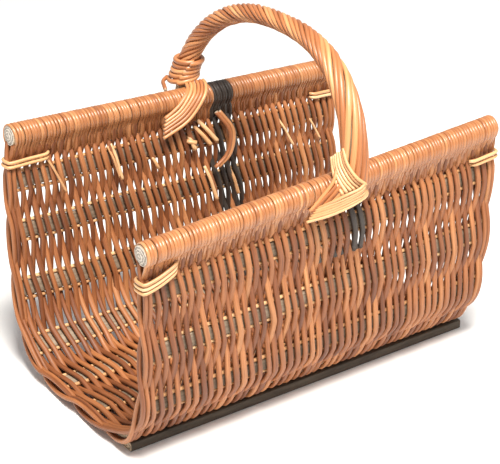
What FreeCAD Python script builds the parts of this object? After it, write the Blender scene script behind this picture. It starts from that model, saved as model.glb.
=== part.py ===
import FreeCAD, Part
import math
import os

# Open-ended woven willow log basket, in millimetres.
# X runs along the two rails, Y goes across, Z is up, and Z = 0 is under the runners.
# The near side is -Y and the left end is -X.

os.makedirs("parts", exist_ok=True)
V = FreeCAD.Vector

# ---- Willow and timber sizes ----
weaver_d = 5.2
rib_thick = 5.4
lath_w = 20.0
edge_rod_d = 4.4
pole_d = 23.0
rail_wrap_d = 28.0
bow_d = 14.0
wrap_apex_d = 22.5
wrap_near_foot_d = 32.0
wrap_far_foot_d = 26.0
lashing_d = 39.5
lashing_rod_d = 6.6
rod_facets = 10

# ---- Overall shape of the trough ----
rail_half_l = 250.0
far_rail_left_x = -236.0
rail_half_span = 157.0
rail_axis_z = 288.0
floor_gap = 5.0
squareness = 4.7
side_lean = 0.052
web_half = rib_thick / 2 + weaver_d
bottom_z = floor_gap + web_half

# ---- Hand-made unevenness: how far each rail end is off from level and square ----
near_end_rise = 9.0
near_end_shift = 8.0
far_end_drop = 15.0
far_end_shift = 10.0
left_bulge_near = 2.0
left_bulge_far = 8.0
right_bulge = 3.0

# ---- Ribs: distance of each lath's centre along the U from its own side's rail ----
near_ribs = [54.0, 131.0, 208.0, 287.0, 368.0]
far_ribs = [56.0, 120.0, 192.0, 262.0, 330.0]
rod_gap = 0.15
channel_half_w = lath_w / 2 + edge_rod_d + 2 * rod_gap
rib_end_inset = 1.5

# ---- Runners under the trough ----
runner_w = 30.0
runner_h = 12.0
runner_outer_y = 106.0
runner_x0 = -236.0
runner_x1 = 258.0

# ---- Handle ----
handle_foot_y = 184.75
handle_centre_y = -1.75
handle_foot_z = 266.0
handle_near_x = 10.0
handle_far_x = 22.0
handle_apex_shift = 26.0
handle_top_z = 429.5
handle_fullness = 2.38
handle_uneven = 6.0
wrap_start_z = 304.0
lashing_turns = 5


def superellipse(a):
    """Point (y, z) of the level U-shaped middle line; a runs from 0 (near rail) to pi."""
    c = math.cos(a)
    s = abs(math.sin(a))
    y = -rail_half_span * math.copysign(abs(c) ** (2 / squareness), c)
    z = bottom_z + (rail_axis_z - bottom_z) * (1 - s ** (2 / squareness))
    lean = 1 - side_lean * (rail_axis_z - z) / rail_axis_z
    return y * lean, z


# Table of the middle line with its running length, so a place on it is one distance
line_steps = 1600
line = [superellipse(math.pi * i / line_steps) for i in range(line_steps + 1)]
run = [0.0]
for i in range(line_steps):
    (ya, za), (yb, zb) = line[i], line[i + 1]
    run.append(run[-1] + math.hypot(yb - ya, zb - za))
u_total = run[-1]


def on_line(u):
    """Middle-line point and outward normal at running length u."""
    u = min(max(u, 0.0), u_total)
    lo, hi = 0, line_steps
    while hi - lo > 1:
        m = (lo + hi) // 2
        if run[m] <= u:
            lo = m
        else:
            hi = m
    f = (u - run[lo]) / (run[hi] - run[lo])
    y = line[lo][0] + f * (line[hi][0] - line[lo][0])
    z = line[lo][1] + f * (line[hi][1] - line[lo][1])
    a = max(lo - 4, 0)
    b = min(hi + 4, line_steps)
    ty = line[b][0] - line[a][0]
    tz = line[b][1] - line[a][1]
    n = math.hypot(ty, tz)
    return y, z, tz / n, -ty / n


def place(x, u, t):
    """Point of the real, slightly uneven trough: station x, length u, offset t outwards."""
    ym, zm, ny, nz = on_line(u)
    s = x / rail_half_l
    h = min(max((zm - floor_gap) / (rail_axis_z - floor_gap), 0.0), 1.0)
    if ym < 0:
        dy = near_end_shift * s * h
        dz = near_end_rise * s * h
    else:
        dy = far_end_shift * s * h
        dz = -far_end_drop * s * h
    return V(x, ym + t * ny + dy, zm + t * nz + dz)


def depth_share(u):
    """0 at a rail, rising to 1 from a sixth of the way down."""
    zm = on_line(u)[1]
    return min(6 * (rail_axis_z - zm) / (rail_axis_z - floor_gap), 1.0)


def left_x(u):
    """Where the woven side ends at the left open end."""
    f = u / u_total
    far_share = min(max((f - 0.3) / 0.3, 0.0), 1.0)
    bulge = left_bulge_near + (left_bulge_far - left_bulge_near) * far_share
    return -rail_half_l * (1 - f) + far_rail_left_x * f - bulge * depth_share(u)


def right_x(u):
    """Where the woven side ends at the right open end."""
    return rail_half_l + right_bulge * depth_share(u)


def rail_point(side, x):
    """Point on a rail's axis; side is -1 for near and 1 for far."""
    return place(x, 0.0 if side < 0 else u_total, 0.0)


def cylinder_between(p, q, d):
    axis = q - p
    return Part.makeCylinder(d / 2, axis.Length, p, axis)


def rod(points, diameters):
    """Faceted round rod through the given points, its sides carried along without twist."""
    last = len(points) - 1
    if isinstance(diameters, float):
        diameters = [diameters] * len(points)
    side = None
    rings = []
    for i, p in enumerate(points):
        tangent = (points[min(i + 1, last)] - points[max(i - 1, 0)]).normalize()
        if side is None:
            side = tangent.cross(V(0.31, 0.23, 0.92))
        side = (side - tangent * side.dot(tangent)).normalize()
        up = tangent.cross(side)
        ring = []
        for k in range(rod_facets):
            a = 2 * math.pi * k / rod_facets
            ring.append(p + (side * math.cos(a) + up * math.sin(a)) * (diameters[i] / 2))
        rings.append(Part.makePolygon(ring + [ring[0]]))
    return Part.makeLoft(rings, True, True)


def smooth(points, count):
    """Evenly spaced points on a smooth curve through a few given ones."""
    curve = Part.BSplineCurve()
    curve.interpolate(points)
    return curve.discretize(count)


def bar_between(outline, x0, x1):
    """Straight-ruled solid along X whose section is the outline of (u, t) places."""
    ends = []
    for x in (x0, x1):
        pts = [place(x, u, t) for u, t in outline]
        ends.append(Part.makePolygon(pts + [pts[0]]))
    return Part.makeLoft(ends, True, True)


def save(name, solids):
    shape = solids[0] if len(solids) == 1 else Part.makeCompound(solids)
    if not shape.isValid():
        raise ValueError(name + " is not a valid shape")
    shape.exportStep("parts/" + name + ".step")


# ---- Rails: two poles, each sleeved by the weavers' turns ----
wrap_inset = 3.0
dark_x0 = 50.0
dark_x1 = 80.0
rail_ends = {"near": (-1, -rail_half_l, rail_half_l), "far": (1, far_rail_left_x, rail_half_l)}
wraps = {}


def sleeve(side, x0, x1):
    p = rail_point(side, x0)
    q = rail_point(side, x1)
    return cylinder_between(p, q, rail_wrap_d).cut(cylinder_between(p, q, pole_d))


for name, (side, x0, x1) in rail_ends.items():
    p = rail_point(side, x0)
    q = rail_point(side, x1)
    save("rail_" + name, [cylinder_between(p, q, pole_d)])
    wraps[name] = cylinder_between(p, q, rail_wrap_d)

save("rail_wrap_near", [sleeve(-1, -rail_half_l + wrap_inset, rail_half_l - wrap_inset)])
save("rail_wrap_far_left", [sleeve(1, far_rail_left_x + wrap_inset, dark_x0)])
save("rail_wrap_far_dark", [sleeve(1, dark_x0, dark_x1)])
save("rail_wrap_far_right", [sleeve(1, dark_x1, rail_half_l - wrap_inset)])

# ---- Ribs: a flat lath with a thin rod along each edge, held inside the weave ----
rib_u = near_ribs + [u_total - u for u in reversed(far_ribs)]
half_rib = rib_thick / 2
lath_solids = []
for k, u in enumerate(rib_u, 1):
    x0 = left_x(u) + rib_end_inset
    x1 = right_x(u) - rib_end_inset
    lath = [
        (u - lath_w / 2, half_rib),
        (u + lath_w / 2, half_rib),
        (u + lath_w / 2, -half_rib),
        (u - lath_w / 2, -half_rib),
    ]
    lath_solid = bar_between(lath, x0, x1)
    save("rib_lath_%02d" % k, [lath_solid])
    rods = []
    for side in (-1, 1):
        ur = u + side * ((lath_w + edge_rod_d) / 2 + rod_gap)
        rods.append(cylinder_between(place(x0, ur, 0), place(x1, ur, 0), edge_rod_d))
    save("rib_rods_%02d" % k, rods)
    lath_solids.append(lath_solid)

# ---- Woven sides: panels from rib to rib, each with a channel for half a rib at its edges ----
border_w = 2 * weaver_d + 0.4
neck_len = 20.0
panel_steps = 8


def neck_half(u):
    """Half thickness of the weave, flaring out to meet the rail's sleeve."""
    d = min(u, u_total - u)
    f = min(d / neck_len, 1.0)
    return rail_wrap_d / 2 * (1 - f) + web_half * f


def panel_outline(ua, ub):
    us = {ua + (ub - ua) * i / panel_steps for i in range(panel_steps + 1)}
    us |= {u for u in (neck_len, u_total - neck_len) if ua < u < ub}
    us = sorted(us)
    outer = [(u, neck_half(u)) for u in us]
    inner = [(u, -neck_half(u)) for u in reversed(us)]
    at_b = []
    at_a = []
    if ub < u_total - 10:
        at_b = [(ub, half_rib), (ub - channel_half_w, half_rib)]
        at_b += [(ub - channel_half_w, -half_rib), (ub, -half_rib)]
    if ua > 10:
        at_a = [(ua, -half_rib), (ua + channel_half_w, -half_rib)]
        at_a += [(ua + channel_half_w, half_rib), (ua, half_rib)]
    return outer + at_b + inner + at_a


runner_y = {"near": (-runner_outer_y, -1), "far": (runner_outer_y, 1)}
runners = {}
for name, (outer_y, side) in runner_y.items():
    y0 = min(outer_y, outer_y - side * runner_w)
    box = Part.makeBox(runner_x1 - runner_x0, runner_w, runner_h, V(runner_x0, y0, 0))
    runners[name] = box
    save("runner_" + name, [box])

edge_u = [4.0] + rib_u + [u_total - 4.0]
for k in range(len(edge_u) - 1):
    ua, ub = edge_u[k], edge_u[k + 1]
    mid_u = (ua + ub) / 2
    x0 = max(left_x(ua), left_x(mid_u), left_x(ub)) + border_w
    x1 = right_x(mid_u) - border_w
    panel = bar_between(panel_outline(ua, ub), x0, x1)
    if k == 0:
        panel = panel.cut(wraps["near"])
    if k == len(edge_u) - 2:
        panel = panel.cut(wraps["far"])
    for box in runners.values():
        if panel.common(box).Volume > 0:
            panel = panel.cut(box)
    for lath_solid in lath_solids[max(k - 1, 0):k + 1]:
        panel = panel.cut(lath_solid)
    save("weave_panel_%02d" % (k + 1), panel.Solids)

# ---- Borders: four rods round the U at each open end, two inside and two outside the ribs ----
border_t = half_rib + weaver_d / 2 + 0.3
border_u0 = 17.0
border_steps = 52
for name, edge_x, inward in (("left", left_x, 1), ("right", right_x, -1)):
    rods = []
    for row in (0, 1):
        for t in (-border_t, border_t):
            pts = []
            for i in range(border_steps + 1):
                u = border_u0 + (u_total - 2 * border_u0) * i / border_steps
                x = edge_x(u) + inward * (weaver_d / 2 + row * (weaver_d + 0.1))
                pts.append(place(x, u, t))
            border_rod = rod(pts, weaver_d - 0.1)
            if name == "right":
                for box in runners.values():
                    border_rod = border_rod.cut(box)
            rods += border_rod.Solids
    save("border_" + name, rods)

# ---- Corner ties: loops of willow round the border just under each rail end ----
tie_t = web_half + weaver_d / 2 + 0.1
tie_overhang = 3.6
tie_squareness = 3.0
tie_turn_steps = 12


def tie_loop(u, edge_x, inward, reach_out, reach_in):
    """Hairpin of willow: along the outer side, round the open end, back along the inner side."""
    x_end = edge_x(u)
    x_turn = x_end + inward * (tie_t - tie_overhang)
    pts = [place(x_end + inward * reach_out, u, tie_t)]
    for i in range(tie_turn_steps + 1):
        a = math.pi / 2 - math.pi * i / tie_turn_steps
        across = abs(math.cos(a)) ** (2 / tie_squareness)
        out = math.copysign(abs(math.sin(a)) ** (2 / tie_squareness), math.sin(a))
        pts.append(place(x_turn - inward * tie_t * across, u, tie_t * out))
    pts.append(place(x_end + inward * reach_in, u, -tie_t))
    return rod(pts, weaver_d - 0.4)


ties = {
    "near_left": (32.0, 3, left_x, 1, 42.0, 34.0),
    "near_right": (29.0, 2, right_x, -1, 40.0, 30.0),
    "far_left": (u_total - 35.0, 2, left_x, 1, 30.0, 52.0),
    "far_right": (u_total - 34.0, 2, right_x, -1, 30.0, 40.0),
}
for name, (u0, count, edge_x, inward, reach_out, reach_in) in ties.items():
    loops = [tie_loop(u0 + i * weaver_d, edge_x, inward, reach_out, reach_in) for i in range(count)]
    save("tie_" + name, loops)


# ---- Handle: a bent bow, its twisted wrap, and the lashings at the feet ----
def handle_point(a):
    """Bow centre line; a runs from 0 at the near foot to pi at the far foot."""
    c = math.cos(a)
    s = math.sin(a)
    y = -handle_foot_y * math.copysign(abs(c) ** (2 / handle_fullness), c)
    z = handle_foot_z + (handle_top_z - handle_foot_z) * abs(s) ** (2 / handle_fullness)
    z += handle_uneven * math.sin(2 * a)
    share = (y / handle_foot_y + 1) / 2
    x = handle_near_x + (handle_far_x - handle_near_x) * share + handle_apex_shift * s
    return V(x, y + handle_centre_y, z)


def wrap_diameter(a):
    """Thickness of the wrapped handle: thinnest at the apex, thickest at the near foot."""
    c = math.cos(a)
    foot_d = wrap_near_foot_d if c > 0 else wrap_far_foot_d
    return wrap_apex_d + (foot_d - wrap_apex_d) * abs(c) ** 1.3


def handle_angles(a0, a1, count):
    return [a0 + (a1 - a0) * i / count for i in range(count + 1)]


def angle_at_height(z, a_low, a_high):
    """Angle where the bow reaches height z, between a low and a high place on one leg."""
    for _ in range(50):
        m = (a_low + a_high) / 2
        if handle_point(m).z < z:
            a_low = m
        else:
            a_high = m
    return (a_low + a_high) / 2


bow_steps = 40
foot_a = 0.012
near_foot_a = 0.075
bow = rod([handle_point(a) for a in handle_angles(near_foot_a, math.pi - foot_a, bow_steps)], bow_d)
save("handle_bow", [bow])

wrap_a0 = angle_at_height(wrap_start_z, foot_a, math.pi / 3)
wrap_a1 = angle_at_height(wrap_start_z, math.pi - foot_a, 2 * math.pi / 3)
wrap_angles = handle_angles(wrap_a0, wrap_a1, bow_steps)
wrap_solid = rod([handle_point(a) for a in wrap_angles], [wrap_diameter(a) for a in wrap_angles])
save("handle_wrap", [wrap_solid.cut(bow)])

# Far lashing: round turns of willow about the foot of the wrap, just above the rail
turns = []
for i in range(lashing_turns):
    a = angle_at_height(wrap_start_z + (i + 0.5) * lashing_rod_d, math.pi - foot_a, 2 * math.pi / 3)
    centre = handle_point(a)
    axis = handle_point(a - 0.01) - centre
    turns.append(Part.makeTorus((lashing_d - lashing_rod_d) / 2, lashing_rod_d / 2 - 0.1, centre, axis))
save("handle_lashing_far", turns)

# Bands of parallel rods that carry the wrap over the rails and into the weave.
# Each band is a first rod and a last rod; the others are spaced evenly between them.
def band(first, last, count, rod_d):
    rods = []
    for i in range(count):
        f = i / (count - 1)
        pts = [V(*p) * (1 - f) + V(*q) * f for p, q in zip(first, last)]
        rods.append(rod(smooth(pts, 16), rod_d))
    return rods


far_first = [(19, 159, 303.4), (16, 152, 302.5), (8, 144, 298), (-8, 140, 286), (-24, 141, 275)]
far_last = [(43, 158.5, 303), (41, 150, 302), (31, 138, 292), (6, 136, 268), (-30, 138, 252)]
save("handle_band_far", band(far_first, far_last, 6, 4.4))

upper_first = [(2, -177, 339), (-1.5, -189, 327), (3, -200.5, 316), (13, -203.2, 307)]
upper_last = [(-2, -160, 325), (-5, -166, 313), (-8, -177, 303), (-9, -189, 293)]
save("handle_band_near_upper", band(upper_first, upper_last, 5, 4.2))

lower_first = [(22, -199, 299), (7, -202, 298), (-8, -198, 294), (-18, -188, 286), (-27, -174, 276)]
lower_last = [(26, -195, 285), (14, -199, 283), (-4, -197, 278), (-22, -187, 270), (-38, -169, 260)]
save("handle_band_near_lower", band(lower_first, lower_last, 5, 3.0))
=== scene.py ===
"""Looks of the woven willow log basket: every rod is its own bent tube around the CAD frame.

Lengths are in millimetres until a mesh is made. X runs along the rails, the near side is -Y.
"""

import math

import bpy
import numpy as np
from mathutils import Matrix, Vector


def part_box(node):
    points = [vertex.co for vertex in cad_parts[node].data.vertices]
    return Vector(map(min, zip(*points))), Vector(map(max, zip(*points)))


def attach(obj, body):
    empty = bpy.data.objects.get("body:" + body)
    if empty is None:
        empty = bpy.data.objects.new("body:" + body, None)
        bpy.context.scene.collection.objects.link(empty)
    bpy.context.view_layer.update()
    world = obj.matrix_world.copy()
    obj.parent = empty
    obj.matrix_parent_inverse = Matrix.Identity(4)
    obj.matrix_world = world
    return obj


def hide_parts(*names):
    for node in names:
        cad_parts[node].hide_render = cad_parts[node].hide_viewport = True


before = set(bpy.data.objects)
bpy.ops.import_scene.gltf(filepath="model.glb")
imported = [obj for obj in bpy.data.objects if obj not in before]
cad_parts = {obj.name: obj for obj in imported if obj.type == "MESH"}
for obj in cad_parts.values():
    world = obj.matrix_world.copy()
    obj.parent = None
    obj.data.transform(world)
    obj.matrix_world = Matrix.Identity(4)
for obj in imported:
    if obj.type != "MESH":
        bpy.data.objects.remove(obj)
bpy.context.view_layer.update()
rng = np.random.default_rng(7)

# ---- The trough's shape, as in the CAD ----
RAIL_HALF_L = 250.0
FAR_LEFT_X = -236.0
HALF_SPAN = 157.0
RAIL_Z = 288.0
FLOOR_GAP = 5.0
SQUARENESS = 4.7
LEAN = 0.052
BOTTOM_Z = 12.9
# At the rails' right ends, each side shifts in Y and Z by this much, and at the left by the reverse
NEAR_SHIFT, NEAR_RISE = 8.0, 9.0
FAR_SHIFT, FAR_RISE = 10.0, -15.0
LEFT_BULGE_NEAR, LEFT_BULGE_FAR, RIGHT_BULGE = 2.0, 8.0, 3.0
RIB_HALF = 2.7
POLE_R = 11.5
NEAR_RIBS = [54.0, 131.0, 208.0, 287.0, 368.0]
FAR_RIBS = [56.0, 120.0, 192.0, 262.0, 330.0]


def superellipse(a):
    """Section of the trough: y and z of its middle line, from the near rail (0) to the far one (pi)."""
    c = np.cos(a)
    s = np.abs(np.sin(a))
    y = -HALF_SPAN * np.sign(c) * np.abs(c) ** (2 / SQUARENESS)
    z = BOTTOM_Z + (RAIL_Z - BOTTOM_Z) * (1 - s ** (2 / SQUARENESS))
    return y * (1 - LEAN * (RAIL_Z - z) / RAIL_Z), z


line_y, line_z = superellipse(np.linspace(0, math.pi, 4001))
run = np.concatenate([[0], np.cumsum(np.hypot(np.diff(line_y), np.diff(line_z)))])
U_TOTAL = run[-1]
even_u = np.linspace(0, U_TOTAL, 1601)
even_y = np.interp(even_u, run, line_y)
even_z = np.interp(even_u, run, line_z)
tan_y = np.gradient(even_y, even_u)
tan_z = np.gradient(even_z, even_u)


def place(x, u, t):
    """Points (n, 3) at station x, running length u and outward offset t; u may pass the rails."""
    x, u, t = np.broadcast_arrays(np.asarray(x, float), np.asarray(u, float), np.asarray(t, float))
    uc = np.clip(u, 0, U_TOTAL)
    ty = np.interp(uc, even_u, tan_y)
    tz = np.interp(uc, even_u, tan_z)
    n = np.hypot(ty, tz)
    ty, tz = ty / n, tz / n
    y = np.interp(uc, even_u, even_y) + (u - uc) * ty
    z = np.interp(uc, even_u, even_z) + (u - uc) * tz
    s = x / RAIL_HALF_L
    h = np.clip((np.interp(uc, even_u, even_z) - FLOOR_GAP) / (RAIL_Z - FLOOR_GAP), 0, 1)
    near = uc < U_TOTAL / 2
    dy = np.where(near, NEAR_SHIFT, FAR_SHIFT) * s * h
    dz = np.where(near, NEAR_RISE, FAR_RISE) * s * h
    return np.stack([x, y + t * tz + dy, z - t * ty + dz], -1)


def depth_share(u):
    """0 at the rails, 1 from a sixth of the way down."""
    z = np.interp(np.clip(u, 0, U_TOTAL), even_u, even_z)
    return np.minimum(6 * (RAIL_Z - z) / (RAIL_Z - FLOOR_GAP), 1)


def left_x(u):
    """X of the left open end."""
    f = np.clip(u / U_TOTAL, 0, 1)
    bulge = LEFT_BULGE_NEAR + (LEFT_BULGE_FAR - LEFT_BULGE_NEAR) * np.clip((f - 0.3) / 0.3, 0, 1)
    return -RAIL_HALF_L * (1 - f) + FAR_LEFT_X * f - bulge * depth_share(u)


def right_x(u):
    """X of the right open end."""
    return RAIL_HALF_L + RIGHT_BULGE * depth_share(u)


# ---- Mesh building ----
def smooth_path(points, step):
    """Catmull-Rom curve through control points, sampled about every step mm."""
    p = np.asarray(points, float)
    q = np.vstack([2 * p[0] - p[1], p, 2 * p[-1] - p[-2]])
    out = []
    for i in range(1, len(q) - 2):
        n = max(int(np.linalg.norm((q[i + 1] - q[i])[:3]) / step), 1)
        s = np.linspace(0, 1, n, endpoint=False)[:, None]
        a, b, c, d = q[i - 1], q[i], q[i + 1], q[i + 2]
        square = (2 * a - 5 * b + 4 * c - d) * s**2
        cube = (3 * b - a - 3 * c + d) * s**3
        out.append(0.5 * ((2 * b) + (c - a) * s + square + cube))
    out.append(p[-1:])
    return np.vstack(out)


def carried_frames(p):
    """Side and normal vectors carried along a path without twist."""
    t = np.gradient(p, axis=0)
    t /= np.linalg.norm(t, axis=1)[:, None] + 1e-12
    side = np.zeros_like(p)
    v = np.cross(t[0], [0.31, 0.23, 0.92])
    for i in range(len(p)):
        v = v - t[i] * (v @ t[i])
        v /= np.linalg.norm(v) + 1e-12
        side[i] = v
    return t, side, np.cross(t, side)


def axis_frames(p, axis):
    """Frames whose side vector keeps close to a fixed axis."""
    t = np.gradient(p, axis=0)
    t /= np.linalg.norm(t, axis=1)[:, None] + 1e-12
    a = np.broadcast_to(np.asarray(axis, float), p.shape)
    side = a - t * np.sum(a * t, 1)[:, None]
    side /= np.linalg.norm(side, axis=1)[:, None] + 1e-12
    return t, side, np.cross(t, side)


CUT_DOME = 0.25


class Rods:
    """Collects tubes into one mesh. Material 0 is the bark or peeled side, 1 the cut ends."""

    def __init__(self):
        self.v, self.f, self.m, self.uv, self.rod = [], [], [], [], []
        self.count = 0

    def add(self, p, frames, half_w, half_t, sides=8, power=1.0, tone=None):
        """One tube along p: power under 1 squares its section, tone fixes its shade from 0 to 1."""
        t, side, normal = frames
        n = len(p)
        half_w = np.broadcast_to(half_w, (n,))
        half_t = np.broadcast_to(half_t, (n,))
        a = 2 * math.pi * np.arange(sides) / sides
        ca, sa = np.cos(a), np.sin(a)
        if power != 1.0:
            ca = np.sign(ca) * np.abs(ca) ** power
            sa = np.sign(sa) * np.abs(sa) ** power
        ring = (
            p[:, None, :]
            + side[:, None, :] * (half_w[:, None] * ca)[:, :, None]
            + normal[:, None, :] * (half_t[:, None] * sa)[:, :, None]
        )
        base = self.count
        self.v.append(ring.reshape(-1, 3))
        i = np.arange(n - 1)[:, None] * sides
        k = np.arange(sides)[None, :]
        k2 = (k + 1) % sides
        quads = np.stack([base + i + k, base + i + k2, base + i + sides + k2, base + i + sides + k], -1)
        self.f += quads.reshape(-1, 4).tolist()
        along = np.concatenate([[0], np.cumsum(np.linalg.norm(np.diff(p, axis=0), axis=1))]) / 1000
        r = rng.random() if tone is None else tone
        v0 = np.broadcast_to(along[:-1, None], (n - 1, sides))
        v1 = np.broadcast_to(along[1:, None], (n - 1, sides))
        c0 = np.broadcast_to(k / sides, (n - 1, sides))
        c1 = np.broadcast_to((k + 1) / sides, (n - 1, sides))
        corners = ((c0, v0), (c1, v0), (c1, v1), (c0, v1))
        self.uv.append(np.stack([np.stack(corner, -1) for corner in corners], 2).reshape(-1, 2))
        self.m += [0] * ((n - 1) * sides)
        self.rod.append(np.full(n * sides, r))
        self.count += n * sides
        # Cut ends, slightly domed
        for end, sign in ((0, -1), (n - 1, 1)):
            rim = base + end * sides + np.arange(sides)
            centre = p[end] + t[end] * sign * CUT_DOME * min(half_w[end], half_t[end])
            self.v.append(centre[None])
            c = self.count
            self.count += 1
            self.rod.append(np.array([r]))
            for j in range(sides):
                x, y = int(rim[j]), int(rim[(j + 1) % sides])
                self.f.append([c, x, y] if sign > 0 else [c, y, x])
                self.m.append(1)
                tri = [[0.5, 0.5], [0.5 + 0.5 * ca[j], 0.5 + 0.5 * sa[j]]]
                j2 = (j + 1) % sides
                tri.append([0.5 + 0.5 * ca[j2], 0.5 + 0.5 * sa[j2]])
                if sign < 0:
                    tri = [tri[0], tri[2], tri[1]]
                self.uv.append(np.array(tri))

    def build(self, name, mats, slot, nodes):
        mesh = bpy.data.meshes.new(name)
        mesh.from_pydata((np.vstack(self.v) / 1000).tolist(), [], self.f)
        layer = mesh.uv_layers.new(name="UVMap")
        layer.data.foreach_set("uv", np.vstack(self.uv).astype(np.float32).ravel())
        attribute = mesh.attributes.new("rod", "FLOAT", "POINT")
        attribute.data.foreach_set("value", np.concatenate(self.rod).astype(np.float32))
        for m in mats:
            mesh.materials.append(m)
        mesh.polygons.foreach_set("material_index", np.array(self.m, np.int32))
        mesh.polygons.foreach_set("use_smooth", np.array(self.m) == 0)
        mesh.update()
        obj = bpy.data.objects.new(name, mesh)
        bpy.context.scene.collection.objects.link(obj)
        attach(obj, "root")
        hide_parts(*nodes)


def wander(n, size, waves=3):
    """Smooth random drift along n samples."""
    s = np.linspace(0, 1, n)
    out = np.zeros(n)
    for k in range(1, waves + 1):
        out += rng.normal() / k * np.sin(2 * math.pi * (k * s * 1.3 + rng.random()))
    return out * size


# ---- Materials ----
KNOT_COLOUR = (0.12, 0.06, 0.03, 1)
ROD_START = 37.0  # How far apart, in the noise, the rods' own starts are spread
MIX_A, MIX_B, MIX_RESULT = 6, 7, 2  # A Mix node's colour sockets


def feed(nt, socket, value):
    """Fix a socket's value, or link another node's output to it."""
    if isinstance(value, bpy.types.NodeSocket):
        nt.links.new(value, socket)
    else:
        socket.default_value = value


def math_node(nt, operation, *values):
    node = nt.nodes.new("ShaderNodeMath")
    node.operation = operation
    for socket, value in zip(node.inputs, values):
        feed(nt, socket, value)
    return node.outputs[0]


def vector_node(nt, operation, *values):
    node = nt.nodes.new("ShaderNodeVectorMath")
    node.operation = operation
    for socket, value in zip(node.inputs, values):
        feed(nt, socket, value)
    return node.outputs["Value" if operation == "LENGTH" else "Vector"]


def noise_node(nt, vector, scale, detail, roughness):
    node = nt.nodes.new("ShaderNodeTexNoise")
    feed(nt, node.inputs["Vector"], vector)
    node.inputs["Scale"].default_value = scale
    node.inputs["Detail"].default_value = detail
    node.inputs["Roughness"].default_value = roughness
    return node.outputs["Fac"]


def mix_node(nt, blend, factor, a, b):
    node = nt.nodes.new("ShaderNodeMix")
    node.data_type = "RGBA"
    node.blend_type = blend
    feed(nt, node.inputs[0], factor)
    feed(nt, node.inputs[MIX_A], a)
    feed(nt, node.inputs[MIX_B], b)
    return node.outputs[MIX_RESULT]


def ramp_node(nt, factor, stops):
    node = nt.nodes.new("ShaderNodeValToRGB")
    elements = node.color_ramp.elements
    while len(elements) < len(stops):
        elements.new(0.5)
    for element, (position, colour) in zip(elements, stops):
        element.position = position
        element.color = (*colour, 1)
    feed(nt, node.inputs[0], factor)
    return node.outputs[0]


def bump_node(nt, height, strength, distance):
    node = nt.nodes.new("ShaderNodeBump")
    node.inputs["Strength"].default_value = strength
    node.inputs["Distance"].default_value = distance
    feed(nt, node.inputs["Height"], height)
    return node.outputs[0]


def new_material(name):
    """Material with its node tree, its surface shader and the tubes' own UV coordinates."""
    mat = bpy.data.materials.new(name)
    mat.use_nodes = True
    nt = mat.node_tree
    uv = nt.nodes.new("ShaderNodeUVMap")
    uv.uv_map = "UVMap"
    return mat, nt, nt.nodes["Principled BSDF"], uv.outputs[0]


def willow_material(name, tones, rough=0.42, bump=0.25, streak=0.5, knots=0.5, coat=0.15):
    """Peeled or barked rod: a tone for each rod, streaks along it, a few knots and a soft sheen."""
    mat, nt, bsdf, uv = new_material(name)
    rod = nt.nodes.new("ShaderNodeAttribute")
    rod.attribute_name = "rod"
    shade = rod.outputs["Fac"]
    split = nt.nodes.new("ShaderNodeSeparateXYZ")
    feed(nt, split.inputs[0], uv)
    # Place on the rod: round it, and along it from a start of its own
    turn = math_node(nt, "MULTIPLY", split.outputs[0], 2 * math.pi)
    spot = nt.nodes.new("ShaderNodeCombineXYZ")
    feed(nt, spot.inputs[0], math_node(nt, "COSINE", turn))
    feed(nt, spot.inputs[1], math_node(nt, "SINE", turn))
    feed(nt, spot.inputs[2], math_node(nt, "MULTIPLY_ADD", shade, ROD_START, split.outputs[1]))

    def stretched(by):
        return vector_node(nt, "MULTIPLY", spot.outputs[0], by)

    streaks = noise_node(nt, stretched((4.0, 4.0, 26.0)), 1.0, 4, 0.6)
    patches = noise_node(nt, stretched((0.6, 0.6, 9.0)), 1.0, 3, 0.55)
    fine = noise_node(nt, stretched((9.0, 9.0, 160.0)), 1.0, 3, 0.6)

    own_tone = math_node(nt, "MULTIPLY_ADD", shade, 0.5, -0.17)
    wood = ramp_node(nt, math_node(nt, "MULTIPLY_ADD", patches, 0.8, own_tone), tones)
    grain = [(0.30, (0.45, 0.38, 0.32)), (0.62, (1.0, 1.0, 1.0)), (0.80, (1.12, 1.1, 1.05))]
    streaked = mix_node(nt, "MULTIPLY", streak, wood, ramp_node(nt, streaks, grain))

    knot = nt.nodes.new("ShaderNodeTexVoronoi")
    knot.inputs["Scale"].default_value = 1.0
    feed(nt, knot.inputs["Vector"], stretched((0.5, 0.5, 22.0)))
    falloff = [(0.0, (1, 1, 1)), (0.10, (0.5, 0.5, 0.5)), (0.17, (0, 0, 0))]
    spots = ramp_node(nt, knot.outputs["Distance"], falloff)
    knotted = mix_node(nt, "MIX", math_node(nt, "MULTIPLY", spots, knots), streaked, KNOT_COLOUR)
    feed(nt, bsdf.inputs["Base Color"], knotted)

    sheen = nt.nodes.new("ShaderNodeMapRange")
    sheen.inputs["To Min"].default_value = rough - 0.08
    sheen.inputs["To Max"].default_value = rough + 0.18
    feed(nt, sheen.inputs["Value"], fine)
    feed(nt, bsdf.inputs["Roughness"], sheen.outputs[0])
    height = math_node(nt, "ADD", fine, streaks)
    feed(nt, bsdf.inputs["Normal"], bump_node(nt, height, bump, 0.0006))
    bsdf.inputs["Coat Weight"].default_value = coat
    bsdf.inputs["Coat Roughness"].default_value = 0.3
    return mat


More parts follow.
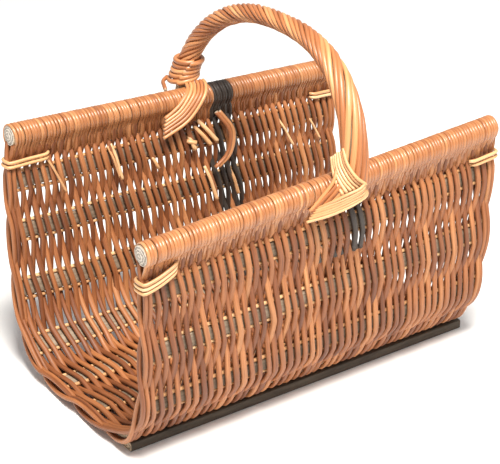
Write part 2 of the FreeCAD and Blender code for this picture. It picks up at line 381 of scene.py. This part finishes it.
def cut_material(name, wood, pith, rings=5.0):
    """Cut end of a rod: growth rings about a darker pith, blotched by drying."""
    mat, nt, bsdf, uv = new_material(name)
    from_middle = vector_node(nt, "LENGTH", vector_node(nt, "SUBTRACT", uv, (0.5, 0.5, 0.0)))
    noise = noise_node(nt, uv, 7.0, 6.0, 0.5)
    warped = math_node(nt, "MULTIPLY_ADD", noise, 0.26, from_middle)
    wave = math_node(nt, "SINE", math_node(nt, "MULTIPLY", warped, rings * 2 * math.pi))
    share = nt.nodes.new("ShaderNodeMapRange")
    share.inputs["From Min"].default_value = -1.0
    share.inputs["From Max"].default_value = 1.0
    feed(nt, share.inputs["Value"], wave)
    blotch = math_node(nt, "MULTIPLY", share.outputs[0], noise)
    deep = tuple(c * 0.38 for c in wood)
    bright = tuple(min(c * 1.25, 0.95) for c in wood)
    face = ramp_node(nt, blotch, [(0.0, deep), (0.28, wood), (0.6, bright)])
    core = ramp_node(nt, warped, [(0.15, (1, 1, 1)), (0.20, (0, 0, 0))])
    feed(nt, bsdf.inputs["Base Color"], mix_node(nt, "MIX", core, face, (*pith, 1)))
    feed(nt, bsdf.inputs["Normal"], bump_node(nt, blotch, 0.5, 0.0004))
    bsdf.inputs["Roughness"].default_value = 0.85
    return mat


buff = willow_material(
    "willow_buff",
    [
        (0.0, (0.09, 0.026, 0.009)), (0.32, (0.25, 0.080, 0.025)),
        (0.62, (0.43, 0.160, 0.054)), (1.0, (0.70, 0.34, 0.140)),
    ],
    rough=0.5, streak=0.75, coat=0.05,
)
rail_mat = willow_material(
    "willow_rail",
    [
        (0.0, (0.16, 0.050, 0.017)), (0.3, (0.35, 0.128, 0.045)),
        (0.6, (0.48, 0.200, 0.076)), (1.0, (0.66, 0.33, 0.145)),
    ],
    rough=0.30, streak=0.35, knots=0.1, coat=0.4,
)
dark = willow_material(
    "willow_dark",
    [(0.0, (0.018, 0.013, 0.010)), (0.5, (0.050, 0.036, 0.028)), (1.0, (0.11, 0.08, 0.06))],
    rough=0.5, streak=0.7, knots=0.2, coat=0.1,
)
pale = willow_material(
    "willow_pale",
    [(0.0, (0.48, 0.22, 0.09)), (0.45, (0.72, 0.40, 0.18)), (1.0, (0.90, 0.64, 0.36))],
    rough=0.36, streak=0.4, knots=0.25, coat=0.3,
)
handle_mat = willow_material(
    "willow_handle",
    [
        (0.0, (0.24, 0.075, 0.025)), (0.35, (0.46, 0.17, 0.060)),
        (0.7, (0.66, 0.30, 0.12)), (1.0, (0.84, 0.50, 0.25)),
    ],
    rough=0.36, streak=0.45, knots=0.2, coat=0.3,
)
bark = willow_material(
    "lath_bark",
    [
        (0.0, (0.12, 0.085, 0.055)), (0.4, (0.25, 0.185, 0.125)),
        (0.7, (0.36, 0.28, 0.20)), (1.0, (0.50, 0.41, 0.31)),
    ],
    rough=0.72, bump=0.7, streak=0.8, knots=0.6, coat=0.0,
)
pole = willow_material(
    "pole_side",
    [(0.0, (0.36, 0.24, 0.14)), (0.5, (0.50, 0.36, 0.22)), (1.0, (0.62, 0.47, 0.31))],
    rough=0.6, coat=0.0,
)
# Near-black runner timber: partly aged dark wood and partly painted shade, standing for the trough's
# shadow over the runner
timber_with_painted_shade = willow_material(
    "runner_timber",
    [(0.0, (0.035, 0.026, 0.018)), (0.5, (0.075, 0.056, 0.038)), (1.0, (0.12, 0.092, 0.065))],
    rough=0.7, bump=0.6, streak=0.8, knots=0.4, coat=0.0,
)
cut = cut_material("cut_end", (0.78, 0.62, 0.44), (0.30, 0.16, 0.08))
cut_dark = cut_material("cut_end_dark", (0.40, 0.29, 0.19), (0.10, 0.06, 0.04))
cut_pole = cut_material("cut_pole", (0.56, 0.50, 0.43), (0.26, 0.17, 0.11), rings=7.0)

# ---- Poles inside the rails ----
rail_span = {"near": (0.0, -RAIL_HALF_L, RAIL_HALF_L), "far": (U_TOTAL, FAR_LEFT_X, RAIL_HALF_L)}
pole_steps = 60
pole_r = POLE_R + 0.1
for name, (u, x0, x1) in rail_span.items():
    p = place(np.linspace(x0, x1, pole_steps), u, 0.0)
    p[:, 1] += wander(pole_steps, 0.2)
    rods = Rods()
    rods.add(p, carried_frames(p), pole_r + wander(pole_steps, 0.12), pole_r, sides=28, tone=0.6)
    rods.build("pole_" + name, [pole, cut_pole], "pole_wood", ["rail_" + name])

# ---- Ribs: bark-covered laths with a thin rod along each edge ----
rib_u = NEAR_RIBS + [U_TOTAL - u for u in reversed(FAR_RIBS)]
RIB_INSET = 6.0
LATH_HALF_W, LATH_HALF_T = 9.6, 2.5
EDGE_ROD_R, EDGE_ROD_U = 2.25, 12.2
for k, u in enumerate(rib_u, 1):
    n = 90
    x0 = float(left_x(u)) + RIB_INSET + rng.uniform(0, 2)
    x1 = float(right_x(u)) - RIB_INSET - rng.uniform(0, 2)
    xs = np.linspace(x0, x1, n)
    lath = Rods()
    drift = wander(n, 0.8)
    p = place(xs, u + drift, wander(n, 0.15))
    across = place(xs, u + drift + 1.0, 0.0) - place(xs, u + drift, 0.0)
    half_w = LATH_HALF_W + wander(n, 0.35)
    half_t = LATH_HALF_T + wander(n, 0.12)
    lath.add(p, axis_frames(p, across[n // 2]), half_w, half_t, sides=16, power=0.62)
    lath.build("lath_%02d" % k, [bark, cut_dark], "lath_wood", ["rib_lath_%02d" % k])
    pair = Rods()
    for side in (-1, 1):
        rod_xs = xs + rng.uniform(-1.5, 1.5)
        rod_u = u + drift + side * (EDGE_ROD_U + wander(n, 0.4))
        p = place(rod_xs, rod_u, wander(n, 0.3))
        r = EDGE_ROD_R + rng.uniform(-0.2, 0.25) + wander(n, 0.08)
        pair.add(p, carried_frames(p), r, r, sides=8)
    pair.build("rib_rods_%02d" % k, [pale, cut], "pale_willow", ["rib_rods_%02d" % k])

# ---- Weavers: pairs of rods that twist round each other between the ribs ----
PAIRS = 45
FRONT_T = RIB_HALF + 2.8
SWING = 3.1
ROD_HALF_W, ROD_HALF_T = 3.6, 2.75
CREST = 12.5  # Half the length that a weaver lies along a rib
END_ROOM = 11.5  # Kept free at each open end for the border
# Where dark weavers start at each rail, and how many control places down they reach
DARK_NEAR_X, DARK_FAR_X = (-20, 48), (50, 84)
DARK_ROWS_NEAR, DARK_ROWS_FAR = 5, 15
panels = ["weave_panel_%02d" % k for k in range(1, 12)]
mid_u = [(a + b) / 2 for a, b in zip(rib_u[:-1], rib_u[1:])]


def lean(f, u):
    """Gentle drift of the weavers towards the right on the way down, strongest at mid-length."""
    bump = 1 - (2 * f - 1) ** 2
    near = 10 * np.clip(u / 260, 0, 1)
    far = 22 * np.clip((U_TOTAL - u) / 200, 0, 1)
    w = np.clip((u - 0.42 * U_TOTAL) / (0.16 * U_TOTAL), 0, 1)
    return bump * (near * (1 - w) + far * w)


def weaver(pair, strand):
    """Control places (x, u, t, half width) of one rod of a pair, from rail to rail."""
    f = (pair + 0.5) / PAIRS
    rows = []
    sign = [1 if (k + strand) % 2 == 0 else -1 for k in range(len(rib_u))]
    first, last = sign[0], sign[-1]
    # At each rail a rod lies on the other face from the one where it crosses the nearest rib
    rows.append((-first * 1.4, 10.0, -first * 5.0, 2.6))
    rows.append((-first * 2.8, 28.0, -first * 2.4, 2.9))
    for k, u in enumerate(rib_u):
        jig = rng.normal(0, 0.45)
        rows.append((-sign[k] * 2.3 + jig, u - CREST, sign[k] * FRONT_T * 0.95, ROD_HALF_W))
        rows.append((jig, u, sign[k] * (FRONT_T + 0.3), ROD_HALF_W))
        rows.append((sign[k] * 2.3 + jig, u + CREST, sign[k] * FRONT_T * 0.95, ROD_HALF_W))
        if k < len(rib_u) - 1:
            rows.append((sign[k] * SWING + rng.normal(0, 0.35), mid_u[k], rng.normal(0, 0.4), ROD_HALF_W))
    rows.append((last * 2.8, U_TOTAL - 28.0, last * -2.4, 2.9))
    rows.append((last * 1.4, U_TOTAL - 10.0, last * -5.0, 2.6))
    rows = np.array(rows)
    lo = left_x(rows[:, 1]) + END_ROOM
    hi = right_x(rows[:, 1]) - END_ROOM
    x = lo + f * (hi - lo) + rows[:, 0] + lean(f, rows[:, 1])
    rows[:, 0] = x + wander(len(rows), 0.7)
    return rows


def lay(rods, rows, scale):
    """Bend one weaver along its control places."""
    q = smooth_path(rows, 6.5)
    p = place(q[:, 0], q[:, 1], q[:, 2])
    w = q[:, 3] * scale
    n = len(p)
    half_w = w + wander(n, 0.10)
    half_t = np.minimum(w, ROD_HALF_T * scale) + wander(n, 0.08)
    rods.add(p, axis_frames(p, (1, 0, 0)), half_w, half_t)


def within(x, limits):
    return limits[0] < x < limits[1]


dark_near, dark_far = Rods(), Rods()
for pair in range(PAIRS):
    rods = Rods()
    for strand in (0, 1):
        rows = weaver(pair, strand)
        scale = 1.0 + rng.uniform(-0.12, 0.12)
        cut_a, cut_b = 0, len(rows)
        if within(rows[0, 0], DARK_NEAR_X) and rng.random() < 0.8:
            cut_a = DARK_ROWS_NEAR
            lay(dark_near, rows[: cut_a + 1], scale)
        if within(rows[-1, 0], DARK_FAR_X) and rng.random() < 0.85:
            cut_b = len(rows) - DARK_ROWS_FAR
            lay(dark_far, rows[cut_b - 1 :], scale)
        lay(rods, rows[cut_a:cut_b], scale)
    rods.build("weaver_pair_%02d" % (pair + 1), [buff, cut], "willow", panels)
dark_near.build("dark_weavers_near", [dark, cut_dark], "dark_willow", panels[:2])
dark_far.build("dark_weavers_far", [dark, cut_dark], "dark_willow", panels[-4:])

# ---- Turns of willow round the rails ----
WRAP_PITCH = 4.25
TURN_STEPS = 22
DARK_TURNS_X = (50.0, 80.0)


def wind_rail(rods, near, xs):
    """A turn at each x: up one face of the wall, over the pole and down the other."""
    for x in xs:
        r = POLE_R + 1.5 + rng.uniform(-0.12, 0.22)
        slant = rng.normal(1.8, 0.3)
        a = np.radians(np.linspace(-52, 232, TURN_STEPS))
        deep = rng.uniform(0.4, 2.0)
        q_u = np.concatenate([[31.0, 20.0], -r * np.sin(a), [20.0, 31.0]])
        q_t = np.concatenate([[deep, 3.6], r * np.cos(a), [-3.6, -deep]])
        u = q_u if near else U_TOTAL - q_u
        q_x = np.concatenate([[-1.6, -0.8], np.linspace(-slant, slant, TURN_STEPS), [0.8, 1.6]])
        p = place(x + q_x, u, q_t)
        tone = min(max(0.5 + 0.22 * rng.normal(), 0.0), 1.0)
        width = 2.28 * (0.93 + 0.14 * rng.random()) + wander(len(p), 0.06)
        rods.add(p, axis_frames(p, (1, 0, 0)), width, 1.5, sides=8, tone=tone)


def turn_places(x0, x1):
    """Slightly uneven places of the turns between x0 and x1."""
    n = int(round((x1 - x0) / WRAP_PITCH))
    xs = x0 + (np.arange(n) + 0.5) * (x1 - x0) / n
    return xs + rng.normal(0, 0.36, n)


near_turns = Rods()
wind_rail(near_turns, True, turn_places(-RAIL_HALF_L + 1.0, RAIL_HALF_L - 1.0))
near_turns.build("rail_turns_near", [rail_mat, cut], "willow", ["rail_wrap_near"])
for name, x0, x1, mat, slot in (
    ("left", FAR_LEFT_X + 1.0, DARK_TURNS_X[0], rail_mat, "willow"),
    ("dark", *DARK_TURNS_X, dark, "dark_willow"),
    ("right", DARK_TURNS_X[1], RAIL_HALF_L - 1.0, rail_mat, "willow"),
):
    turns = Rods()
    wind_rail(turns, False, turn_places(x0, x1))
    turns.build("rail_turns_far_" + name, [mat, cut], slot, ["rail_wrap_far_" + name])

# ---- Borders round the open ends: two tight pairs that twist round each other ----
BORDER_INSET, BORDER_PITCH, BORDER_R = 3.2, 5.4, 2.8
for name, edge, inward in (("left", left_x, 1), ("right", right_x, -1)):
    rods = Rods()
    for row in (0, 1):
        for strand in (0, 1):
            rows = []
            for k, u in enumerate(rib_u):
                sign = 1 if (k + strand + row) % 2 == 0 else -1
                if k == 0:
                    rows.append((-sign * 1.0, 8.0, -sign * 5.5))
                    rows.append((-sign * 1.8, 26.0, -sign * 2.0))
                rows.append((-sign * 0.6, u - 12.0, sign * 5.4))
                rows.append((sign * 0.6, u + 12.0, sign * 5.4))
                if k < len(rib_u) - 1:
                    rows.append((sign * 2.0, mid_u[k], rng.normal(0, 0.3)))
                else:
                    rows.append((sign * 1.8, U_TOTAL - 26.0, -sign * 2.0))
                    rows.append((sign * 1.0, U_TOTAL - 8.0, -sign * 5.5))
            q = smooth_path(np.array(rows), 5.0)
            inset = inward * (BORDER_INSET + row * BORDER_PITCH)
            x = edge(q[:, 1]) + inset + q[:, 0] + wander(len(q), 0.4, 5)
            p = place(x, q[:, 1], q[:, 2])
            r = BORDER_R + wander(len(q), 0.1)
            rods.add(p, carried_frames(p), r, r, sides=9)
    rods.build("border_rods_" + name, [buff, cut], "willow", ["border_" + name])

# ---- Corner ties ----
TIE_T = RIB_HALF + 6.6
TIE_R = 2.05
TIE_PITCH = 5.4


def tie(rods, u, edge, inward, reach_out, reach_in, drop):
    """Hairpin: along the wall's outer face, round the open end and back along the inner face."""
    # How far in from the end, how far down and how far out each control place lies
    outer = [
        (reach_out, drop, TIE_T - 4.5),
        (reach_out * 0.86, drop * 0.8, TIE_T - 0.6),
        (reach_out * 0.45, drop * 0.3, TIE_T + 0.4),
    ]
    bend = [(2.0, TIE_T), (-1.4, TIE_T * 0.6), (-2.0, 0.0), (-1.4, -TIE_T * 0.6), (2.0, -TIE_T)]
    turn = [(reach, 0, t) for reach, t in bend]
    inner = [
        (reach_in * 0.5, drop * 0.2, -TIE_T - 0.3),
        (reach_in * 0.9, drop * 0.3, -TIE_T),
        (reach_in, drop * 0.4, -TIE_T + 5.0),
    ]
    end = float(edge(u))
    q = smooth_path([(end + inward * reach, u + down, t) for reach, down, t in outer + turn + inner], 2.5)
    p = place(q[:, 0], q[:, 1], q[:, 2])
    rods.add(p, carried_frames(p), TIE_R, TIE_R)


tie_plan = {
    "near_left": (32.0, 3, left_x, 1, 44.0, 34.0, -13.0),
    "near_right": (29.0, 2, right_x, -1, 38.0, 30.0, 2.0),
    "far_left": (U_TOTAL - 35.0, 2, left_x, 1, 30.0, 54.0, 6.0),
    "far_right": (U_TOTAL - 34.0, 2, right_x, -1, 30.0, 40.0, 1.0),
}
for name, (u0, count, edge, inward, reach_out, reach_in, drop) in tie_plan.items():
    rods = Rods()
    for i in range(count):
        tie(rods, u0 + i * TIE_PITCH, edge, inward, reach_out + rng.uniform(-3, 3), reach_in, drop)
    rods.build("tie_rods_" + name, [pale, cut], "pale_willow", ["tie_" + name])

# ---- Handle ----
FOOT_Y, CENTRE_Y, FOOT_Z, TOP_Z, FULL = 184.75, -1.75, 266.0, 429.5, 2.38
NEAR_X, FAR_X, APEX_SHIFT, UNEVEN = 10.0, 22.0, 26.0, 6.0
APEX_R, NEAR_FOOT_R, FAR_FOOT_R = 11.25, 16.0, 13.0
NEAR_WRAP_Z, FAR_WRAP_Z = 302.0, 304.0
BOW_R = 6.9


def handle_line(a):
    """Centre line of the handle, from the near foot (0) to the far one (pi)."""
    c, s = np.cos(a), np.abs(np.sin(a))
    y = -FOOT_Y * np.sign(c) * np.abs(c) ** (2 / FULL)
    z = FOOT_Z + (TOP_Z - FOOT_Z) * s ** (2 / FULL) + UNEVEN * np.sin(2 * a)
    x = NEAR_X + (FAR_X - NEAR_X) * (y / FOOT_Y + 1) / 2 + APEX_SHIFT * s
    return np.stack([x, y + CENTRE_Y, z], -1)


angles = np.linspace(0.012, math.pi - 0.012, 3001)
dense = handle_line(angles)
arc = np.concatenate([[0], np.cumsum(np.linalg.norm(np.diff(dense, axis=0), axis=1))])
ARC = arc[-1]


def bow_at(s):
    """Point of the centre line at length s from the near foot."""
    return np.stack([np.interp(s, arc, dense[:, k]) for k in range(3)], -1)


def handle_radius(s):
    """Radius of the wound handle: thinnest at the top, thickest at the near foot."""
    c = np.cos(np.interp(s, arc, angles))
    foot = np.where(c > 0, NEAR_FOOT_R, FAR_FOOT_R)
    return APEX_R + (foot - APEX_R) * np.abs(c) ** 1.3


# Where the winding starts and ends along the bow
HALF = 1500
near_s = float(np.interp(NEAR_WRAP_Z, dense[:HALF, 2], arc[:HALF]))
far_s = ARC - float(np.interp(FAR_WRAP_Z, dense[::-1][:HALF, 2], ARC - arc[::-1][:HALF]))
bow_path = bow_at(np.linspace(near_s - 16.0, ARC, 160))
bow = Rods()
bow.add(bow_path, carried_frames(bow_path), BOW_R, BOW_R, sides=16, tone=0.5)
bow.build("bow", [pole, cut_pole], "pole_wood", ["handle_bow"])

STRANDS = 11
STRAND_T = 2.8
RAIL_CLEAR = 17.0  # The strands keep this far from the near rail's axis at the foot
SLOW_TWIST, MORE_TWIST = 0.012, 0.043  # Radians per mm at the near foot, and what the rest adds
strands = Rods()
s = np.linspace(near_s - 14.0, far_s + 3, 300)
centre = bow_at(s)
_, side, normal = axis_frames(centre, (1, 0, 0))
progress = np.clip((s - near_s) / (far_s - near_s), 0, 1)
settle = np.clip((progress - 0.05) / 0.38, 0, 1)
rate = SLOW_TWIST + MORE_TWIST * settle**2 * (3 - 2 * settle)
turn = np.concatenate([[0], np.cumsum(0.5 * (rate[1:] + rate[:-1]) * np.diff(s))])
foot_squeeze = np.clip((near_s + 4 - s) / 30, 0, 1)
for k in range(STRANDS):
    twist = turn + 2 * math.pi * k / STRANDS + wander(len(s), 0.05)
    r = handle_radius(s) - STRAND_T + wander(len(s), 0.15) - 4.0 * foot_squeeze
    p = centre + side * (r * np.cos(twist))[:, None] + normal * (r * np.sin(twist))[:, None]
    rail = place(p[:, 0], 0.0, 0.0)
    away = p - rail
    away[:, 0] = 0
    gap = np.linalg.norm(away, axis=1)
    near_foot = (s < near_s + 25) & (gap < RAIL_CLEAR)
    p[near_foot] = (rail + away * (RAIL_CLEAR / gap)[:, None])[near_foot]
    outward = p - centre
    t = np.gradient(p, axis=0)
    t /= np.linalg.norm(t, axis=1)[:, None]
    wide = np.cross(t, outward)
    wide /= np.linalg.norm(wide, axis=1)[:, None]
    half_w = (handle_radius(s) - STRAND_T) * 0.285 * (1 + 0.04 * rng.normal()) + wander(len(s), 0.1)
    strands.add(p, (t, wide, np.cross(t, wide)), half_w, STRAND_T, sides=9)
strands.build("handle_strands", [handle_mat, cut], "handle_willow", ["handle_wrap"])

# ---- Lashing at the far foot: turns that tip less and less, from the top one down ----
LASH_PITCH, LASH_R, LASH_STEPS = 6.6, 17.0, 64
LASH_SPREAD = (2.4, 1.2, 0.4, 0.0, 0.6)
lashing = Rods()
for k, spread in enumerate(LASH_SPREAD):
    middle = bow_at(far_s - (0.5 + k) * LASH_PITCH)
    tip = 0.20 - 0.05 * k
    ax = np.array([-0.82 * tip, 0.57 * tip, 1.0])
    ax /= np.linalg.norm(ax)
    e1 = np.cross(ax, (0.2, 0.1, 1.0))
    e1 /= np.linalg.norm(e1)
    e2 = np.cross(ax, e1)
    a = np.linspace(0, 2 * math.pi * 1.05, LASH_STEPS) + 2.2
    r = LASH_R + wander(LASH_STEPS, 0.3) + spread + np.linspace(0, -1.5, LASH_STEPS)
    rise = (a - a[0]) / (2 * math.pi) * 1.4 - 0.7
    p = middle + e1 * (r * np.cos(a))[:, None] + e2 * (r * np.sin(a))[:, None] + ax * rise[:, None]
    lashing.add(p, axis_frames(p, ax), 3.3, 2.9, sides=10)
tail = smooth_path([(14, 196, 305), (4, 190, 303), (-1, 180, 301.5), (-4, 172, 299)], 2.5)
lashing.add(tail, carried_frames(tail), 2.6, 2.6, sides=8)
lashing.build("lashing_turns_far", [handle_mat, cut], "handle_willow", ["handle_lashing_far"])


# ---- Bands of rods that hold the feet to the rails ----
def band(name, first, last, count, r, mat, slot, nodes, spread=0.4):
    """Rods side by side, spread evenly from the first path to the last."""
    rods = Rods()
    for i in range(count):
        f = i / (count - 1)
        pts = np.array(first, float) * (1 - f) + np.array(last, float) * f
        pts += rng.normal(0, spread, pts.shape) * np.array([1, 0.4, 1])
        q = smooth_path(pts, 2.5)
        rods.add(q, carried_frames(q), r + wander(len(q), 0.08), r, sides=9)
    rods.build(name, [mat, cut], slot, nodes)


handle_slot, pale_slot = "handle_willow", "pale_willow"
far_first = [(19, 159, 306), (16, 152, 303), (8, 144, 298), (-8, 140, 286), (-24, 141, 275)]
far_last = [(43, 158.5, 306), (41, 150, 302.5), (31, 138, 292), (6, 136, 268), (-30, 138, 252)]
band("band_far", far_first, far_last, 6, 2.3, handle_mat, handle_slot, ["handle_band_far"])
upper_first = [(5, -176, 339), (2, -187, 326), (5, -199, 314), (15, -204, 304)]
upper_last = [(2, -160, 325), (-1, -166, 313), (-5, -177, 303), (-5, -190, 292)]
band("band_near_upper", upper_first, upper_last, 7, 2.0, pale, pale_slot, ["handle_band_near_upper"], 0.3)
near_upper_node = ["handle_band_near_upper"]
under_first = [(2, -170, 318), (-8, -176, 303), (-22, -173, 286), (-34, -168, 272)]
under_last = [(6, -188, 306), (-4, -187, 294), (-14, -181, 281), (-26, -172, 268)]
band("band_near_under", under_first, under_last, 4, 2.4, handle_mat, handle_slot, near_upper_node)
lower_first = [(15, -203, 305), (6, -204.5, 301), (-7, -200, 296), (-18, -189, 287), (-27, -174, 276)]
lower_last = [(22, -199, 291), (14, -204, 289), (-4, -201, 282), (-22, -188, 271), (-38, -169, 260)]
band("band_near_lower", lower_first, lower_last, 6, 1.7, pale, pale_slot, ["handle_band_near_lower"], 0.25)

# ---- Cut ends of joined rods that stand out of the far side's inner face ----
tips = Rods()
# Height of each place along a tip, as a share of its length, and how far in from the wall it stands
TIP_SHAPE = ((0.0, -3.0), (0.35, -9.5), (0.7, -11.0), (1.0, -12.5))
# Each tip's top and lower end, as x and z, and its radius
tip_plan = [
    (15, 251, 20, 234, 3.0), (31, 269, 54, 239, 3.2), (25, 262, 44, 236, 3.0),
    (10, 246, 22, 243, 3.2), (-191, 268, -170, 221, 1.8), (-99, 264, -90, 219, 2.2),
    (-104, 262, -93, 222, 1.8), (-43, 238, -36, 221, 2.2), (158, 247, 176, 207, 1.8),
    (205, 244, 221, 207, 1.6), (39, 204, 50, 158, 2.6), (78, 193, 84, 158, 2.4),
]
for x0, z0, x1, z1, r in tip_plan:
    spots = []
    for f, t in TIP_SHAPE:
        u = U_TOTAL - (RAIL_Z - (z0 + f * (z1 - z0))) - 12.0
        spots.append(place(x0 + f * (x1 - x0), u, t))
    q = smooth_path(spots, 3.0)
    taper = r * np.linspace(0.8, 1.0, len(q))
    tips.add(q, carried_frames(q), taper, taper, sides=9)
tips.build("joined_rod_tips", [pale, cut], "pale_willow", ["weave_panel_10", "weave_panel_11"])
# Two loose ends of the lashing that curve down the far side's inner face
arc_rods = Rods()
arc_points = [(62, 150, 262), (76, 140, 236), (70, 137, 208), (52, 138, 192)]
for shift in (0.0, 5.2):
    q = smooth_path([(x - shift, y, z) for x, y, z in arc_points], 3.0)
    arc_rods.add(q, carried_frames(q), 2.6, 2.6, sides=9)
arc_rods.build("handle_tail_far", [handle_mat, cut], "handle_willow", ["handle_band_far"])

# ---- Runners: squared laths on the floor under the trough ----
RUNNER_HALF_W, RUNNER_HALF_H, RUNNER_STEPS = 15.0, 6.0, 60
for name, side in (("near", -1), ("far", 1)):
    lo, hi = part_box("runner_" + name)
    xs = np.linspace(lo.x * 1000, hi.x * 1000, RUNNER_STEPS)
    y = np.full(RUNNER_STEPS, (lo.y + hi.y) * 500)
    p = np.stack([xs, y, np.full(RUNNER_STEPS, RUNNER_HALF_H)], -1)
    rods = Rods()
    frames = axis_frames(p, (0, 1, 0))
    rods.add(p, frames, RUNNER_HALF_W, RUNNER_HALF_H, sides=32, power=0.22, tone=0.5)
    # The battens take the near-black timber, whose darkness is partly painted shade
    rods.build("runner_" + name + "_batten", [timber_with_painted_shade, cut_dark], "runner_timber", ["runner_" + name])

# ---- Stage: floor, light and camera, in metres ----
FLOOR_HALF = 6
AIM = (0, 0, 0.15)
floor_corners = [(-FLOOR_HALF, -FLOOR_HALF, 0), (FLOOR_HALF, -FLOOR_HALF, 0)]
floor_corners += [(FLOOR_HALF, FLOOR_HALF, 0), (-FLOOR_HALF, FLOOR_HALF, 0)]
floor_mesh = bpy.data.meshes.new("floor")
floor_mesh.from_pydata(floor_corners, [], [(0, 1, 2, 3)])
floor = bpy.data.objects.new("floor", floor_mesh)
bpy.context.scene.collection.objects.link(floor)
white = bpy.data.materials.new("floor_white")
white.use_nodes = True
white_shader = white.node_tree.nodes["Principled BSDF"]
white_shader.inputs["Base Color"].default_value = (0.95, 0.95, 0.95, 1)
white_shader.inputs["Roughness"].default_value = 0.9
floor_mesh.materials.append(white)

world = bpy.data.worlds.new("studio")
world.use_nodes = True
sky = world.node_tree.nodes["Background"]
sky.inputs["Color"].default_value = (1.0, 0.99, 0.98, 1)
sky.inputs["Strength"].default_value = 0.42
bpy.context.scene.world = world
bpy.context.scene.view_settings.view_transform = "Standard"


def area_light(name, location, size, power, colour):
    """Square light that faces the middle of the basket."""
    data = bpy.data.lights.new(name, "AREA")
    data.size = size
    data.energy = power
    data.color = colour
    lamp = bpy.data.objects.new(name, data)
    bpy.context.scene.collection.objects.link(lamp)
    lamp.location = location
    lamp.rotation_euler = (Vector(AIM) - Vector(location)).to_track_quat("-Z", "Y").to_euler()


area_light("key", (-0.45, -0.95, 2.4), 0.75, 128, (1.0, 0.96, 0.9))
area_light("fill", (1.2, -1.9, 1.5), 1.2, 10, (1.0, 0.98, 0.95))

# The camera's own axes and place
eye = (-1.04659, -1.50033, 1.07213)
right = Vector((0.81826, -0.574837, -0.003541))
up = Vector((0.257104, 0.360455, 0.896644))
back = right.cross(up).normalized()
up = back.cross(right).normalized()
cam_data = bpy.data.cameras.new("camera")
cam_data.sensor_width = 36.0
cam_data.lens = 121.53
cam = bpy.data.objects.new("camera", cam_data)
bpy.context.scene.collection.objects.link(cam)
turned = Matrix((right, up, back)).transposed().to_4x4()
cam.matrix_world = Matrix.Translation(eye) @ turned
bpy.context.scene.camera = cam
